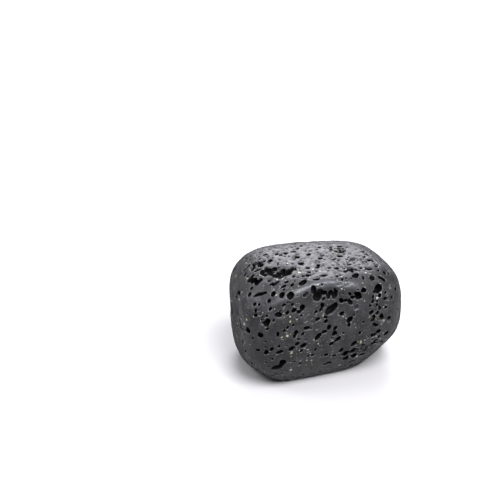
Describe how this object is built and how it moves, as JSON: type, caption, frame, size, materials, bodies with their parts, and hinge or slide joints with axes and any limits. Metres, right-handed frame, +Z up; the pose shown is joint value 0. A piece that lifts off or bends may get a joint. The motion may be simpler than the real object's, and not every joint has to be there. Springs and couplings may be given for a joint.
{
  "type": "lava rock",
  "caption": "Tumbled piece of black vesicular basalt, worn to a rounded block and pitted with gas holes; a decorative or aquarium stone.",
  "frame": {"origin": "on the ground, under the middle of the stone's box", "axes": "+Z up, +X along the stone's length, -Y out of its broad worn front face"},
  "size_m": [0.0362, 0.0262, 0.0237],
  "materials": {
    "basalt": "worn vesicular basalt, satin where tumbled, matt and darker in the gas holes"
  },
  "bodies": {
    "root": {"lava_rock": "basalt"}
  },
  "joints": []
}
